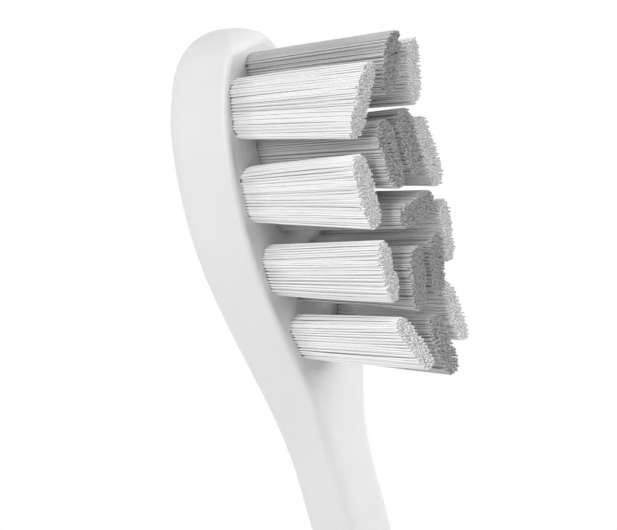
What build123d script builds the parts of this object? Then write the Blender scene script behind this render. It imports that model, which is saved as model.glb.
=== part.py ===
from build123d import *
import math
import os

# Push-on head for a sonic electric toothbrush. The handle's shaft runs up the Z axis, the head stands
# on the mouth of its base at Z = 0, and the bristles point along -Y.

# Body: its length, the base's height, and lengths measured back from the toe
overall_length = 77.2
skirt_height = 12.0
flare_share = 0.79
toe_rim_drop = 1.3
toe_back_drop = 6.8
plate_toe_margin = 1.35
face_heel_margin = 0.2
face_blend_length = 6.65
heel_lead = 2.6

# Body: half sizes of its cross-sections about the shaft axis
skirt_radius = 7.0
neck_half_width = 2.22
neck_half_depth = 2.74
head_half_width = 5.15
face_offset = 3.1
head_back_offset = 4.13
toe_tip_offset = 1.05

# Body: corner radii, the most of a section that they may take up, and how square the toe is (2 is an ellipse)
neck_front_radius = 1.0
neck_back_radius = 1.9
rim_radius = 0.4
head_back_radius = 3.4
base_chamfer = 0.4
skirt_roundness = 0.98
rim_share_of_width = 0.45
rim_share_of_depth = 0.3
back_share_of_width = 0.95
back_share_of_depth = 0.6
toe_squareness = 1.93
toe_back_squareness = 2.47

# Bristle plate, let into the face, with seats in its back for the pads of melted bristle
plate_side_margin = 0.65
plate_half_length = 11.75
plate_end_radius = 3.25
plate_thickness = 1.6
plate_seam = 0.004
pad_thickness = 0.4
pad_lip = 0.03
tuft_clearance = 0.01
pocket_overcut = 0.5

# Tuft field, in shares of the plate's half width and half length: places of the tufts from its middle
side_tuft_places = ((0.524, 0.709), (0.744, 0.23), (0.744, -0.239), (0.544, -0.706))
inner_tuft_places = ((0.245, 0.361), (0.245, -0.361))
toe_tuft_place = (0.0, 0.83)
centre_tuft_place = (0.0, 0.01)
heel_tuft_place = (0.0, -0.817)

# Tufts, in the same shares: half sizes where they leave the face and at their trimmed tips
side_tuft_roots = ((0.2, 0.162), (0.2, 0.153), (0.189, 0.143), (0.178, 0.132))
side_tuft_tips = ((0.169, 0.206), (0.187, 0.2), (0.151, 0.18), (0.16, 0.168))
inner_tuft_root = (0.178, 0.153)
inner_tuft_tip = (0.189, 0.187)
end_tuft_root = (0.189, 0.132)
end_tuft_tip = (0.2, 0.179)
centre_tuft_root = (0.444, 0.07)
centre_tuft_tip = (0.422, 0.066)
tuft_corner_share = 0.6

# Bristles: usual length, how far the tips lean to the toe, how far the side tufts' tips splay outwards, and
# the turns that make the side tufts follow the rim
bristle_length = 10.0
tuft_lean = 0.3
side_tuft_splays = (0.4, 0.1, 0.0, 0.0)
side_tuft_turns = (15.0, 3.0, -3.0, -12.0)

# Trim: share of the usual length at the middle of a tuft, and its rise for each millimetre towards the toe
side_tuft_trims = ((1.07, 0.36), (0.99, -0.06), (0.995, 0.05), (0.99, -0.3))
inner_tuft_trims = ((1.05, -0.05), (1.035, 0.16))
toe_tuft_trim = (1.13, 0.36)
centre_tuft_trim = (1.065, 0.0)
heel_tuft_trim = (1.02, -0.17)

# Base: the socket for the handle's shaft, its spring, and the ring that keeps it in
bore_radius = 2.0
bore_length = 14.0
socket_end_wall = 2.0
socket_radius = 4.2
socket_mouth_radius = 3.6
socket_clearance = 0.03
ring_radius = 5.9
ring_height = 2.6
ring_chamfer = 0.3
spring_height = 2.0
spring_thickness = 0.3
spring_width = 2.0
spring_length = 10.0
spring_rise = 0.9
spring_clearance = 0.1

# Cross-sections that the body is lofted through, closing up towards the toe
even_steps = 36
closing_steps = 16
closing_share = 0.145

face_centre_height = overall_length - plate_toe_margin - plate_half_length
face_full_height = face_centre_height - plate_half_length - face_heel_margin
face_start_height = face_full_height - face_blend_length
heel_start_height = face_start_height - heel_lead
toe_rim_height = overall_length - toe_rim_drop
toe_back_height = overall_length - toe_back_drop
neck_start_height = skirt_height + flare_share * (heel_start_height - skirt_height)
closing_height = face_centre_height + closing_share * (overall_length - face_centre_height)

plate_half_width = head_half_width - plate_side_margin
face_plane = Plane(origin=(0, -face_offset, face_centre_height), x_dir=(1, 0, 0), z_dir=(0, -1, 0))
socket_length = bore_length + socket_end_wall


def between(first, last, share):
    return first + (last - first) * share


def eased(share):
    """A rise from 0 to 1 that starts and ends level."""
    held = min(max(share, 0.0), 1.0)
    return held * held * (3.0 - 2.0 * held)


def rounded_off(share, squareness):
    """A fall from 1 to 0 that closes like the end of an oval."""
    held = min(max(share, 0.0), 1.0)
    return (1.0 - held**squareness) ** (1.0 / squareness)


def skirt_sizes(height):
    """Half width, front, back and corner radii where the round skirt flares in to the neck."""
    flare = 1.0 - eased((height - skirt_height) / (neck_start_height - skirt_height))
    nearly_round = skirt_roundness * skirt_radius
    half_width = between(neck_half_width, skirt_radius, flare)
    half_depth = between(neck_half_depth, skirt_radius, flare)
    front_radius = between(neck_front_radius, nearly_round, flare)
    back_radius = between(neck_back_radius, nearly_round, flare)
    return half_width, half_depth, half_depth, front_radius, back_radius


def head_sizes(height):
    """Half width, front, back and corner radii from the neck to the toe."""
    toe_length = overall_length - face_centre_height
    widening = eased((height - heel_start_height) / (face_centre_height - heel_start_height))
    facing = eased((height - face_start_height) / face_blend_length)
    toe_width = rounded_off((height - face_centre_height) / toe_length, toe_squareness)
    toe_back = rounded_off((height - toe_back_height) / toe_back_drop, toe_back_squareness)
    toe_rim = rounded_off((height - toe_rim_height) / toe_rim_drop, toe_squareness)
    half_width = between(neck_half_width, head_half_width, widening) * toe_width
    full_front = between(neck_half_depth, face_offset, facing)
    full_back = between(neck_half_depth, head_back_offset, widening)
    front = between(toe_tip_offset, full_front, toe_rim)
    back = between(-toe_tip_offset, full_back, toe_back)
    depth = front + back
    front_radius = between(neck_front_radius, rim_radius, facing)
    front_radius = min(front_radius, rim_share_of_width * half_width, rim_share_of_depth * depth)
    back_radius = between(neck_back_radius, head_back_radius, widening)
    back_radius = min(back_radius, back_share_of_width * half_width, back_share_of_depth * depth)
    return half_width, front, back, front_radius, back_radius


def body_section(height):
    """A cross-section of the body: flat front and back, with rounded corners."""
    sizes = skirt_sizes(height) if height < neck_start_height else head_sizes(height)
    half_width, front, back, front_radius, back_radius = sizes
    section = Pos(0, (back - front) / 2) * Rectangle(2 * half_width, front + back)
    section = fillet(section.vertices().group_by(Axis.Y)[0], front_radius)
    section = fillet(section.vertices().group_by(Axis.Y)[-1], back_radius)
    return Pos(0, 0, height) * section


def upright(radius, bottom, top):
    """A cylinder on the shaft axis between two heights."""
    return Pos(0, 0, bottom) * Cylinder(radius, top - bottom, align=(Align.CENTER, Align.CENTER, Align.MIN))


def plate_outline(grown):
    """The oval that the bristle plate fills: a lens of two arcs, rounded outwards by the end radius."""
    lens_half_width = plate_half_width - plate_end_radius
    lens_half_length = plate_half_length - plate_end_radius
    arc_radius = (lens_half_length**2 + lens_half_width**2) / (2 * lens_half_width)
    arc_centre = arc_radius - lens_half_width
    lens = Pos(-arc_centre, 0) * Circle(arc_radius) & Pos(arc_centre, 0) * Circle(arc_radius)
    return offset(lens, plate_end_radius + grown)


def tuft_outline(shares, grown=0.0):
    """The outline of a tuft: a rectangle with its corners cut."""
    half_width = shares[0] * plate_half_width + grown
    half_length = shares[1] * plate_half_length + grown
    outline = Rectangle(2 * half_width, 2 * half_length)
    return chamfer(outline.vertices(), tuft_corner_share * min(half_width, half_length))


def tuft_foot(place, turn):
    """The middle of a tuft on the face, turned to follow the rim."""
    return face_plane * Pos(place[0] * plate_half_width, place[1] * plate_half_length) * Rot(0, 0, turn)


def tuft_root(place, turn, root, grown=0.0):
    """The part of a tuft inside the plate: the bundle and the melted pad that anchors it."""
    foot = tuft_foot(place, turn)
    bundle = extrude(foot * tuft_outline(root, grown), -plate_thickness)
    pad_back = foot * Pos(0, 0, -plate_thickness) * tuft_outline(root, pad_lip + grown)
    return bundle + extrude(pad_back, pad_thickness + grown)


def make_tuft(place, turn, root, tip, trim, splay):
    length = trim[0] * bristle_length
    foot = tuft_foot(place, turn)
    top = face_plane * Pos(splay, tuft_lean, length) * face_plane.location.inverse() * foot
    slope = Rot(math.degrees(math.atan(trim[1])), 0, 0)
    bristles = loft([foot * tuft_outline(root), top * slope * tuft_outline(tip)])
    return bristles + tuft_root(place, turn, root)


def list_tufts():
    """Name, place, turn, root size, tip size, trim and splay of every tuft."""
    tufts = []
    for side, sign in (("left", -1), ("right", 1)):
        for row, (across, up) in enumerate(side_tuft_places):
            name = f"side_tuft_{side}_{row + 1}"
            turn = sign * side_tuft_turns[row]
            sizes = (side_tuft_roots[row], side_tuft_tips[row], side_tuft_trims[row])
            tufts.append((name, (sign * across, up), turn, *sizes, sign * side_tuft_splays[row]))
        for row, (across, up) in enumerate(inner_tuft_places):
            name = f"inner_tuft_{side}_{row + 1}"
            sizes = (inner_tuft_root, inner_tuft_tip, inner_tuft_trims[row])
            tufts.append((name, (sign * across, up), 0.0, *sizes, 0.0))
    end_sizes = (end_tuft_root, end_tuft_tip)
    centre_sizes = (centre_tuft_root, centre_tuft_tip)
    tufts.append(("toe_tuft", toe_tuft_place, 0.0, *end_sizes, toe_tuft_trim, 0.0))
    tufts.append(("centre_tuft", centre_tuft_place, 0.0, *centre_sizes, centre_tuft_trim, 0.0))
    tufts.append(("heel_tuft", heel_tuft_place, 0.0, *end_sizes, heel_tuft_trim, 0.0))
    return tufts


def make_plate(tufts):
    plate = face_plane * extrude(plate_outline(0.0), -plate_thickness)
    for name, place, turn, root, tip, trim, splay in tufts:
        plate -= tuft_root(place, turn, root, tuft_clearance)
    return plate


def section_heights():
    """Even steps up from the skirt, then steps that close up towards the tip of the toe."""
    even = [between(skirt_height, closing_height, step / even_steps) for step in range(even_steps)]
    shares = [1 - (1 - step / closing_steps) ** 2 for step in range(closing_steps)]
    return even + [between(closing_height, overall_length, share) for share in shares]


def make_body():
    skirt = extrude(body_section(0), skirt_height)
    skirt = chamfer(skirt.edges().group_by(Axis.Z)[0], base_chamfer)
    body = skirt + loft([body_section(height) for height in section_heights()])
    mouth = face_plane * Pos(0, 0, pocket_overcut) * plate_outline(plate_seam)
    body -= extrude(mouth, -(pocket_overcut + plate_thickness))
    body -= upright(socket_radius, 0, socket_length)
    body -= upright(ring_radius, 0, ring_height)
    return body


def spring_slot():
    """The slot in the side of the bore that the spring is snapped into."""
    width = spring_width + 2 * spring_clearance
    depth = bore_radius + spring_thickness + spring_rise
    height = spring_length + 2 * spring_clearance
    slot = Box(width, depth, height, align=(Align.CENTER, Align.MIN, Align.MIN))
    return Pos(0, 0, spring_height - spring_clearance) * slot


def make_socket():
    socket = upright(socket_mouth_radius, 0, ring_height)
    socket += upright(socket_radius - socket_clearance, ring_height, socket_length)
    socket -= upright(bore_radius, 0, bore_length)
    return socket - spring_slot()


def make_spring():
    """A bowed steel leaf: its ends bear on the back of the slot and its crest on the shaft."""
    bow_radius = (spring_length**2 / 4 + spring_rise**2) / (2 * spring_rise)
    side_plane = Plane(origin=(0, 0, spring_height + spring_length / 2), x_dir=(0, 1, 0), z_dir=(1, 0, 0))
    bow = Circle(bow_radius) - Circle(bow_radius - spring_thickness)
    reach = Rectangle(spring_rise + spring_thickness, spring_length, align=(Align.MIN, Align.CENTER))
    leaf = Pos(bore_radius + bow_radius, 0) * bow & Pos(bore_radius, 0) * reach
    return extrude(side_plane * leaf, spring_width / 2, both=True)


def make_ring():
    ring = upright(ring_radius - socket_clearance, 0, ring_height)
    ring -= upright(socket_mouth_radius + socket_clearance, 0, ring_height)
    mouth = ring.edges().filter_by(GeomType.CIRCLE).group_by(Axis.Z)[0].sort_by(SortBy.RADIUS)[0]
    return chamfer(mouth, ring_chamfer)


tufts = list_tufts()
nodes = {
    "head_and_neck": make_body(),
    "bristle_plate": make_plate(tufts),
    "shaft_socket": make_socket(),
    "spring_clip": make_spring(),
    "retaining_ring": make_ring(),
}
for name, place, turn, root, tip, trim, splay in tufts:
    nodes[name] = make_tuft(place, turn, root, tip, trim, splay)

os.makedirs("parts", exist_ok=True)
for name, solid in nodes.items():
    export_step(solid, f"parts/{name}.step")
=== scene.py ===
import math

import bpy
import numpy as np
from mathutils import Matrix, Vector


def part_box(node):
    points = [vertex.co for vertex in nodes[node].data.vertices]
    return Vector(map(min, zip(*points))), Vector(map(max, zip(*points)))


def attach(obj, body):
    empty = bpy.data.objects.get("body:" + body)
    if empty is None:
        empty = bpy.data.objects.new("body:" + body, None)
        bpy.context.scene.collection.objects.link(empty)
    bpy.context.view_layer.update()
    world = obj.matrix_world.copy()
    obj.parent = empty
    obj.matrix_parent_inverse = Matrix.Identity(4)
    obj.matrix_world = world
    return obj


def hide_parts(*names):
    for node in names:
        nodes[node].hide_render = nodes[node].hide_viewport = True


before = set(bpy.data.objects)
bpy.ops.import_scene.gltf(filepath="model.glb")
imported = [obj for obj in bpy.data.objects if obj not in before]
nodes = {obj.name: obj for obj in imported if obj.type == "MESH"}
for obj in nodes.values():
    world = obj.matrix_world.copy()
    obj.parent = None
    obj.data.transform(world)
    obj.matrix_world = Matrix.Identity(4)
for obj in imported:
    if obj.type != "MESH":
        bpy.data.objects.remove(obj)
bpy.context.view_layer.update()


# Head and neck: one injection moulding of white polypropylene, from the skirt that hides the socket
# up to the oval head. The mould is spark eroded, so the skin is satin and not polished.

moulding_white = "F2F2F2"
moulding_shade = "ECECEC"
moulding_mottle_mm = 3.0
# The eroded grain is really about 0.03 mm wide. It is drawn four times as coarse, so that it shows.
moulding_grain_mm = 0.12
moulding_grain_depth_mm = 0.002
moulding_roughness = 0.39
polypropylene_sheer = 0.15

plastic_ior = 1.49
plastic_glow_depth = 0.0008
mottle_octaves = 3.0
mottle_gleam = 0.05
grain_octaves = 2.0
grain_strength = 0.25


def linear(hex_colour):
    """An sRGB hex colour as linear red, green, blue and alpha."""
    parts = [int(hex_colour[i:i + 2], 16) / 255 for i in (0, 2, 4)]
    return [p / 12.92 if p <= 0.04045 else ((p + 0.055) / 1.055) ** 2.4 for p in parts] + [1.0]


def add_node(owner, kind, inputs=None, links=None, **settings):
    """A node with its settings, its values, and links from (node, output) pairs."""
    node = owner.node_tree.nodes.new(kind)
    for name, value in settings.items():
        setattr(node, name, value)
    for socket, value in (inputs or {}).items():
        node.inputs[socket].default_value = value
    for socket, (source, output) in (links or {}).items():
        owner.node_tree.links.new(source.outputs[output], node.inputs[socket])
    return node


def new_material(name):
    material = bpy.data.materials.new(name)
    material.use_nodes = True
    material.node_tree.nodes.clear()
    return material


def waves_per_metre(size_mm):
    """Scale of a noise on Object coordinates, in metres, whose blotches are this wide."""
    return 1000.0 / size_mm


def dress(node_name, material):
    """Gives a CAD node its real material."""
    node = nodes[node_name]
    node.data.materials.clear()
    node.data.materials.append(material)


def moulded(name, shade, white, mottle_mm, grain_mm, grain_depth_mm, roughness, sheer):
    """A moulded plastic: flow mottle in its tone and sheen, the mould's grain in its bump, and a
    little light let in under its skin."""
    material = new_material(name)
    place = add_node(material, "ShaderNodeTexCoord")
    mottle = add_node(material, "ShaderNodeTexNoise",
                      {"Scale": waves_per_metre(mottle_mm), "Detail": mottle_octaves},
                      {"Vector": (place, "Object")})
    tone = add_node(material, "ShaderNodeMix", {"A": linear(shade), "B": linear(white)},
                    {"Factor": (mottle, "Fac")}, data_type="RGBA")
    sheen = add_node(material, "ShaderNodeMapRange",
                     {"To Min": roughness - mottle_gleam, "To Max": roughness + mottle_gleam},
                     {"Value": (mottle, "Fac")})
    grain = add_node(material, "ShaderNodeTexNoise",
                     {"Scale": waves_per_metre(grain_mm), "Detail": grain_octaves},
                     {"Vector": (place, "Object")})
    relief = add_node(material, "ShaderNodeBump",
                      {"Strength": grain_strength, "Distance": grain_depth_mm / 1000},
                      {"Height": (grain, "Fac")})
    surface = add_node(material, "ShaderNodeBsdfPrincipled",
                       {"IOR": plastic_ior, "Subsurface Weight": sheer,
                        "Subsurface Radius": (1.0, 1.0, 1.0), "Subsurface Scale": plastic_glow_depth},
                       {"Base Color": (tone, "Result"), "Roughness": (sheen, "Result"),
                        "Normal": (relief, "Normal")})
    add_node(material, "ShaderNodeOutputMaterial", {}, {"Surface": (surface, "BSDF")})
    return material


# Satin polypropylene: slightly translucent white that rolls light softly round its edges, with a broad
# sheen, a hint of flow mottle in its tone and the eroded grain of the mould in its bump.
dress("head_and_neck", moulded("satin_polypropylene", moulding_shade, moulding_white, moulding_mottle_mm,
                               moulding_grain_mm, moulding_grain_depth_mm, moulding_roughness,
                               polypropylene_sheer))


# Bristle plate: a separate moulding that carries all the tufts, welded into a pocket in the face. It is
# the same polypropylene, left a little rougher and more matt because bristles cover it.

# Its mould's grain is really about 0.05 mm wide, and is drawn coarser so that it shows.
plate_grain_mm = 0.18
plate_grain_depth_mm = 0.004
plate_roughness = 0.5

# Matt polypropylene: the same white with a coarser grain, so that hardly any gleam shows between the tufts.
dress("bristle_plate", moulded("matt_polypropylene", moulding_shade, moulding_white, moulding_mottle_mm,
                               plate_grain_mm, plate_grain_depth_mm, plate_roughness,
                               polypropylene_sheer))


# Bristles: drawn filaments of round nylon, about 0.14 mm thick, their ends ground and eased. One is
# modelled and copied for every filament of a tuft, and each tuft grows from its root in the plate to
# the trim of its solid.

filament_radius = 0.000070
filament_length = 0.010
filament_sides = 8
filament_rings = 2
tip_round = 0.00005
same_height = 1e-6

filament_pitch = 0.000154
row_spacing = 0.866
outer_margin = 0.4
outline_squareness = 3.2
root_depth = 0.0008
root_spread = 0.00005
place_scatter = 0.10
length_scatter = 0.00009
clump_pitch = 0.0008
fewest_clumps = 4
clump_lean = 0.00005
strand_lean = 0.00003
strand_bow = 0.00003
edge_steadiness = 0.5

root_tolerance = 2e-6
trim_facing = -0.8
nylon_ior = 1.53


def pick_edges(piece, wanted):
    """Selects, in edit mode, the edges of a piece whose two end heights pass a test."""
    bpy.ops.object.mode_set(mode="EDIT")
    bpy.ops.mesh.select_mode(type="EDGE")
    bpy.ops.mesh.select_all(action="DESELECT")
    bpy.ops.object.mode_set(mode="OBJECT")
    for edge in piece.data.edges:
        edge.select = wanted(*[piece.data.vertices[i].co.z for i in edge.vertices])
    bpy.ops.object.mode_set(mode="EDIT")


bpy.ops.object.select_all(action="DESELECT")
bpy.ops.mesh.primitive_cylinder_add(vertices=filament_sides, radius=filament_radius, depth=filament_length,
                                    location=(0, 0, filament_length / 2))
filament = bpy.context.object
filament.name = "filament_pattern"
bpy.ops.object.transform_apply(location=True)
pick_edges(filament, lambda start, end: abs(start - end) > filament_length / 2)
bpy.ops.mesh.subdivide(number_cuts=filament_rings)
pick_edges(filament, lambda start, end: min(start, end) > filament_length - same_height)
bpy.ops.mesh.bevel(offset=tip_round, segments=1, affect="EDGES")
bpy.ops.object.mode_set(mode="OBJECT")
strand_points = np.array([v.co for v in filament.data.vertices])
strand_faces = [list(face.vertices) for face in filament.data.polygons]
# The filament's ground end, where a darker tone is laid on as painted shade.
painted_end_shade_mask = strand_points[:, 2] > filament_length - same_height
bpy.data.objects.remove(filament)


def tuft_ends(node):
    """Middle and half-size vectors (long, across) of a tuft's root on the face and of its trimmed tip."""
    points = np.array([v.co for v in node.data.vertices])
    back = points[points[:, 1] > points[:, 1].max() - same_height]
    angles = np.arctan2(back[:, 2] - back[:, 2].mean(), back[:, 0] - back[:, 0].mean())
    ring = back[np.argsort(angles)]
    edges = np.roll(ring, -1, axis=0) - ring
    # The longest straight edge of the pad gives the tuft's turn. It is taken as pointing to the toe,
    # or to the right where it is level.
    along = edges[np.argmax(np.linalg.norm(edges, axis=1))]
    along = along / np.linalg.norm(along)
    along = along if along[2] + 0.5 * along[0] > 0 else -along
    across = np.cross(along, [0, 1, 0])
    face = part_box("bristle_plate")[0].y
    root = points[abs(points[:, 1] - face) < root_tolerance]
    halfway = (face + points[:, 1].min()) / 2
    trimmed = {i for f in node.data.polygons if f.normal.y < trim_facing for i in f.vertices}
    tip = np.array([points[i] for i in sorted(trimmed) if points[i][1] < halfway])
    found = []
    for outline in (root, tip):
        long_places = outline @ along
        cross_places = outline @ across
        slope, level = np.polyfit(long_places, outline[:, 1], 1)
        long_middle = (long_places.max() + long_places.min()) / 2
        cross_middle = (cross_places.max() + cross_places.min()) / 2
        middle = along * long_middle + across * cross_middle
        middle[1] = level + slope * long_middle
        half_long = (long_places.max() - long_places.min()) / 2
        half_cross = (cross_places.max() - cross_places.min()) / 2
        found += [middle, (along + [0, slope, 0]) * half_long, across * half_cross]
    return found


def outwardness(shares):
    """0 in the middle of a tuft's rounded oblong, 1 on its outline and more outside it."""
    return abs(shares[:, 0]) ** outline_squareness + abs(shares[:, 1]) ** outline_squareness


def grow_tuft(name, seed):
    """A mesh of filaments that stands for one tuft."""
    dice = np.random.default_rng(seed)
    root, root_along, root_across, tip, tip_along, tip_across = tuft_ends(nodes[name])
    half_sizes = np.array([np.linalg.norm(tip_along), np.linalg.norm(tip_across)])

    # Places are a honeycomb, in shares of the tuft's half sizes, a little unsettled and kept inside.
    rows = int(half_sizes[0] / (filament_pitch * row_spacing))
    columns = int(half_sizes[1] / filament_pitch)
    shares = []
    for row in range(-rows, rows + 1):
        for column in range(-columns - 1, columns + 2):
            shift = 0.5 if row % 2 else 0.0
            shares.append((row / (rows + outer_margin), (column + shift) / (columns + outer_margin)))
    shares = np.array(shares)
    shares = shares[outwardness(shares) <= 1.0]
    count = len(shares)
    place_share = [1 / (rows + outer_margin), 1 / (columns + outer_margin)]
    shares += dice.normal(0, place_scatter, (count, 2)) * place_share
    shares /= np.maximum(outwardness(shares) ** (1 / outline_squareness), 1.0)[:, None]

    root_along = root_along * (1 + root_spread / np.linalg.norm(root_along))
    root_across = root_across * (1 + root_spread / np.linalg.norm(root_across))
    feet = root + shares[:, :1] * root_along + shares[:, 1:] * root_across
    tops = tip + shares[:, :1] * tip_along + shares[:, 1:] * tip_across

    # Filaments lean together in clumps, about one to each square of clump_pitch, and each a little by
    # itself, less so at the tuft's edge.
    flats = shares * half_sizes
    clump_count = max(fewest_clumps, int(4 * abs(flats).max() ** 2 / clump_pitch ** 2))
    clumps = dice.uniform(-1, 1, (clump_count, 2)) * half_sizes
    nearest = np.argmin(((flats[:, None] - clumps[None]) ** 2).sum(2), axis=1)
    lean = dice.normal(0, clump_lean, (clump_count, 3))[nearest] + dice.normal(0, strand_lean, (count, 3))
    lean[:, 1] = 0
    tops = tops + lean * (1.0 - edge_steadiness * outwardness(shares)[:, None])
    directions = tops - feet
    directions /= np.linalg.norm(directions, axis=1)[:, None]
    tops -= directions * abs(dice.normal(0, length_scatter, (count, 1)))
    feet -= directions * root_depth
    bow = np.cross(directions, dice.normal(0, 1, (count, 3))) * strand_bow

    # Each copy of the filament is turned about itself, stretched from foot to top and bowed.
    side = np.cross(directions, [0.0, 0.0, 1.0])
    side /= np.linalg.norm(side, axis=1)[:, None]
    other = np.cross(directions, side)
    twist = dice.uniform(0, 2 * math.pi, (count, 1))
    first = side * np.cos(twist) + other * np.sin(twist)
    second = other * np.cos(twist) - side * np.sin(twist)
    share_up = (strand_points[:, 2] / filament_length)[None, :, None]
    points = feet[:, None] + (tops - feet)[:, None] * share_up
    points = points + bow[:, None] * np.sin(math.pi * share_up)
    points = points + first[:, None] * strand_points[None, :, :1]
    points = points + second[:, None] * strand_points[None, :, 1:2]
    faces = [[corner + strand * len(strand_points) for corner in face]
             for strand in range(count) for face in strand_faces]
    mesh = bpy.data.meshes.new(name + "_filaments")
    mesh.from_pydata(points.reshape(-1, 3).tolist(), [], faces)

    strand_tones = np.repeat(dice.uniform(0, 1, count), len(strand_points))
    tones = mesh.attributes.new("strand_tone", "FLOAT", "POINT")
    tones.data.foreach_set("value", strand_tones.astype(np.float32))
    # This mask carries the painted shade onto the ground end of every filament.
    ground = mesh.attributes.new("painted_end_shade", "FLOAT", "POINT")
    ground.data.foreach_set("value", np.tile(painted_end_shade_mask, count).astype(np.float32))
    mesh.shade_smooth()
    tuft = bpy.data.objects.new(name + "_filaments", mesh)
    bpy.context.scene.collection.objects.link(tuft)
    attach(tuft, "root")
    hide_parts(name)
    return tuft


# Drawn nylon: smooth strands with a soft gleam along each, no two quite one tone. Each ground end is
# given a darker tone as painted shade, so the trimmed top of a tuft looks darker and dotted.
def nylon(name, dark, light, end, roughness):
    """Drawn nylon between two tones, one to a strand, with painted shade in the end tone at the ground end.
    """
    material = new_material(name)
    strand = add_node(material, "ShaderNodeAttribute", attribute_name="strand_tone")
    tone = add_node(material, "ShaderNodeMix", {"A": linear(dark), "B": linear(light)},
                    {"Factor": (strand, "Fac")}, data_type="RGBA")
    ground = add_node(material, "ShaderNodeAttribute", attribute_name="painted_end_shade")
    # Painted shade: the ground end takes the darker end tone.
    colour = add_node(material, "ShaderNodeMix", {"B": linear(end)},
                      {"Factor": (ground, "Fac"), "A": (tone, "Result")}, data_type="RGBA")
    surface = add_node(material, "ShaderNodeBsdfPrincipled", {"Roughness": roughness, "IOR": nylon_ior},
                       {"Base Color": (colour, "Result")})
    add_node(material, "ShaderNodeOutputMaterial", {}, {"Surface": (surface, "BSDF")})
    return material


# Side tufts: eight tufts of white nylon, four down each edge of the face. Each is melted into a pad
# behind the plate and trimmed on a slope, so that together they make a wave.
white_strand_dark = "F8F8F8"
white_strand_light = "FEFEFE"
# The end tone is painted shade on the ground ends, so the trimmed tops look darker.
white_painted_end_shade = "9A9A9A"
white_roughness = 0.3

# White nylon: bright, a little glossy, with thin dark gaps between the strands.
white_nylon = nylon("white_nylon", white_strand_dark, white_strand_light, white_painted_end_shade, white_roughness)
side_tufts = sorted(name for name in nodes if name.startswith("side_tuft"))
for seed, name in enumerate(side_tufts):
    tuft = grow_tuft(name, seed)
    tuft.data.materials.append(white_nylon)


# Inner, toe and heel tufts: seven tufts of nylon that is coloured grey right through, down the middle
# of the face. They are fixed as the white ones are, and the toe tuft stands longest.
grey_strand_dark = "BEBEBF"
grey_strand_light = "D0D0D1"
# The end tone is painted shade on the ground ends, so the trimmed tops look darker.
grey_painted_end_shade = "787879"
grey_roughness = 0.35

# Grey nylon: a cool mid grey, duller than the white, that makes the tufts behind look deeper.
grey_nylon = nylon("grey_nylon", grey_strand_dark, grey_strand_light, grey_painted_end_shade, grey_roughness)
grey_tufts = sorted(name for name in nodes if name.endswith("_tuft") or name.startswith("inner_tuft"))
for seed, name in enumerate(grey_tufts, len(side_tufts)):
    tuft = grow_tuft(name, seed)
    tuft.data.materials.append(grey_nylon)


# Shaft socket and ring: what the handle's shaft pushes into, and the ring that holds it in the skirt.
# Both are moulded acetal, a harder and slicker plastic, slightly creamier than the skirt.
acetal_white = "ECEBE6"
acetal_shade = "E0DFD9"
acetal_mottle_mm = 1.5
# Its mould is finer, with a grain of about 0.02 mm, which is drawn coarser so that it shows.
acetal_grain_mm = 0.06
acetal_grain_depth_mm = 0.001
acetal_roughness = 0.28
acetal_sheer = 0.05

# Acetal: dense creamy white, waxy and slick, with only a fine grain.
acetal = moulded("acetal", acetal_shade, acetal_white, acetal_mottle_mm, acetal_grain_mm,
                 acetal_grain_depth_mm, acetal_roughness, acetal_sheer)
dress("shaft_socket", acetal)
dress("retaining_ring", acetal)


# Spring clip: a strip of rolled stainless steel that grips the shaft. It is cut from the roll, so its
# grain runs the length of the strip.
steel_dark = "A9A9AC"
steel_light = "CFCFD1"
steel_roughness_least = 0.22
steel_roughness_most = 0.42
# The rolling lines are really about 0.01 mm wide, and are drawn five times as wide so that they show.
rolling_line_mm = 0.05
rolling_stretch = 0.03
rolling_octaves = 2.0

# Rolled steel: bright grey metal with fine lines along the strip that stretch the gleam across it.
spring_steel = new_material("rolled_steel")
place = add_node(spring_steel, "ShaderNodeTexCoord")
drawn = add_node(spring_steel, "ShaderNodeMapping", {"Scale": (1.0, 1.0, rolling_stretch)},
                 {"Vector": (place, "Object")})
lines = add_node(spring_steel, "ShaderNodeTexNoise",
                 {"Scale": waves_per_metre(rolling_line_mm), "Detail": rolling_octaves},
                 {"Vector": (drawn, "Vector")})
tone = add_node(spring_steel, "ShaderNodeMix", {"A": linear(steel_dark), "B": linear(steel_light)},
                {"Factor": (lines, "Fac")}, data_type="RGBA")
gleam = add_node(spring_steel, "ShaderNodeMapRange",
                 {"To Min": steel_roughness_least, "To Max": steel_roughness_most},
                 {"Value": (lines, "Fac")})
surface = add_node(spring_steel, "ShaderNodeBsdfPrincipled", {"Metallic": 1.0},
                   {"Base Color": (tone, "Result"), "Roughness": (gleam, "Result")})
add_node(spring_steel, "ShaderNodeOutputMaterial", {}, {"Surface": (surface, "BSDF")})
dress("spring_clip", spring_steel)


# Floor: a plain sweep of white paper that fills the view. The eye sees it as white, with a soft shadow
# worked out from how close the object stands. The cast shadows of the soft boxes don't show on it.
floor_size = 6.0
floor_white = "FFFFFF"
floor_matt = "E8E8E8"
shadow_reach = 0.04
shadow_depth = 0.35


def seen_by_eye(owner):
    """1 for what the camera sees, straight, in a reflection or through glass, and 0 for light that
    falls on the object."""
    rays = add_node(owner, "ShaderNodeLightPath")
    direct = add_node(owner, "ShaderNodeMath", {}, {0: (rays, "Is Camera Ray"), 1: (rays, "Is Glossy Ray")},
                      operation="MAXIMUM")
    return add_node(owner, "ShaderNodeMath", {}, {0: (direct, "Value"), 1: (rays, "Is Transmission Ray")},
                    operation="MAXIMUM")


bpy.ops.object.select_all(action="DESELECT")
bpy.ops.mesh.primitive_plane_add(size=floor_size)
floor = bpy.context.object
floor.name = "floor"
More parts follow.
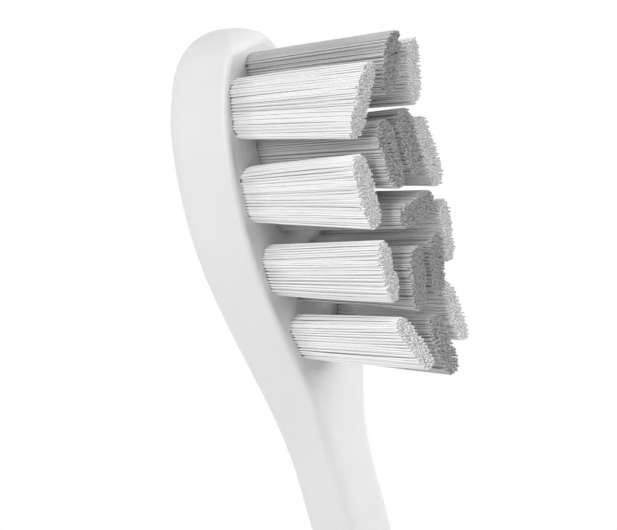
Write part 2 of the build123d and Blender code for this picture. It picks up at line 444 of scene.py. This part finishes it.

# White paper: matt, and white to the eye but for that soft shadow, which is painted into its glow from
# ambient occlusion.
paper = new_material("white_paper")
seen = seen_by_eye(paper)
matt = add_node(paper, "ShaderNodeBsdfDiffuse", {"Color": linear(floor_matt)})
open_sky = add_node(paper, "ShaderNodeAmbientOcclusion", {"Distance": shadow_reach})
white = add_node(paper, "ShaderNodeMapRange", {"To Min": shadow_depth, "To Max": 1.0},
                 {"Value": (open_sky, "AO")})
glow = add_node(paper, "ShaderNodeEmission", {"Color": linear(floor_white)}, {"Strength": (white, "Result")})
both = add_node(paper, "ShaderNodeMixShader", {},
                {0: (seen, "Value"), 1: (matt, "BSDF"), 2: (glow, "Emission")})
add_node(paper, "ShaderNodeOutputMaterial", {}, {"Surface": (both, "Shader")})
floor.data.materials.append(paper)


# Light: a white tent all round, which the camera sees as a white backdrop, and a tall soft box on each
# side of the camera, aimed at the middle of the face.
tent_white = "FFFFFF"
tent_light = 0.21
backdrop_white = 1.0
box_distance = 0.40
face_middle = Vector((0, -0.008, 0.060))
camera_right = Vector((0.608, -0.755, -0.244))
camera_back = Vector((-0.677, -0.654, 0.336))

world = bpy.data.worlds.new("white_tent")
bpy.context.scene.world = world
world.use_nodes = True
world.node_tree.nodes.clear()
level = add_node(world, "ShaderNodeMapRange", {"To Min": tent_light, "To Max": backdrop_white},
                 {"Value": (seen_by_eye(world), "Value")})
tent = add_node(world, "ShaderNodeBackground", {"Color": linear(tent_white)}, {"Strength": (level, "Result")})
add_node(world, "ShaderNodeOutputWorld", {}, {"Surface": (tent, "Background")})


def soft_box(name, sideways, backwards, upwards, width, height, power):
    """A rectangular lamp, set off from the face by shares of box_distance along the camera's axes and up."""
    lamp = bpy.data.lights.new(name, "AREA")
    lamp.shape = "RECTANGLE"
    lamp.size = width
    lamp.size_y = height
    lamp.energy = power
    holder = bpy.data.objects.new(name, lamp)
    bpy.context.scene.collection.objects.link(holder)
    away = camera_right * sideways + camera_back * backwards + Vector((0, 0, upwards))
    holder.location = face_middle + away * box_distance
    holder.rotation_euler = (-away).to_track_quat("-Z", "Y").to_euler()


soft_box("left_soft_box", sideways=-0.67, backwards=0.73, upwards=0.24, width=0.24, height=0.40, power=1.40)
soft_box("right_soft_box", sideways=1.0, backwards=0.05, upwards=0.52, width=0.20, height=0.36, power=1.18)


# Camera: at the photograph's viewing angle, a little above the head and to its left. Its place, turn
# and lens were fitted to points measured in the photograph.
camera_place = (-0.065855, -0.066694, 0.092781)
camera_turn_degrees = (69.746, 14.129, -51.138)
camera_lens_mm = 81.662
camera_sensor_mm = 36.0
camera_nearest = 0.005

camera = bpy.data.objects.new("camera", bpy.data.cameras.new("camera"))
bpy.context.scene.collection.objects.link(camera)
camera.location = camera_place
camera.rotation_euler = [math.radians(angle) for angle in camera_turn_degrees]
camera.data.sensor_width = camera_sensor_mm
camera.data.lens = camera_lens_mm
camera.data.clip_start = camera_nearest
bpy.context.scene.camera = camera
bpy.context.scene.view_settings.view_transform = "Standard"
